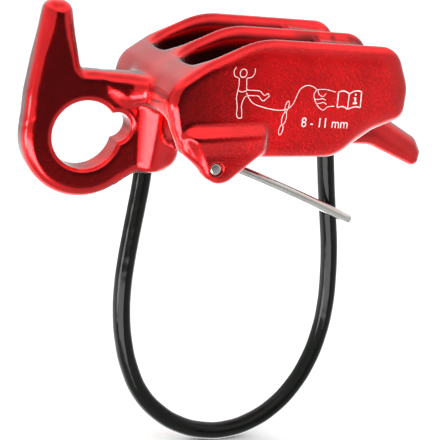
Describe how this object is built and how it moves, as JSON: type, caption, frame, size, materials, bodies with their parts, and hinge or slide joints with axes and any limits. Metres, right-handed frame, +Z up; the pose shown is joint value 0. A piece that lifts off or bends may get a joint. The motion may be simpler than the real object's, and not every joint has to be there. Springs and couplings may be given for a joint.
{
  "type": "belay and rappel device",
  "caption": "Forged two-slot belay device with carabiner eye, thumb horn, pivoting wire arm and sheathed keeper cable loop.",
  "frame": {"origin": "centre of the carabiner eye, on the device's middle plane", "axes": "+X along the rope slots from the eye to the tail, +Y along the eye's axis away from the marked side, +Z up towards the fins' crests and the horn"},
  "size_m": [0.1074, 0.0414, 0.1115],
  "materials": {
    "red_anodised": "blasted and glossy red anodised",
    "steel_wire": "drawn stainless wire",
    "black_sheath": "smooth gloss",
    "steel_strand": "stranded wire",
    "crimp_sleeve": "plain crimped"
  },
  "bodies": {
    "device": {"forged_body": "red_anodised", "cable_sheath": "black_sheath", "cable_strand": "steel_strand", "front_ferrule": "crimp_sleeve", "rear_ferrule": "crimp_sleeve"},
    "arm": {"wire_arm": "steel_wire"}
  },
  "joints": [
    {"name": "arm_pivot", "type": "hinge", "parent": "device", "child": "arm", "pos_m": [0.0256, -0.0172, -0.0029], "axis": [0, -1, 0], "range_deg": [-65, 20]}
  ]
}
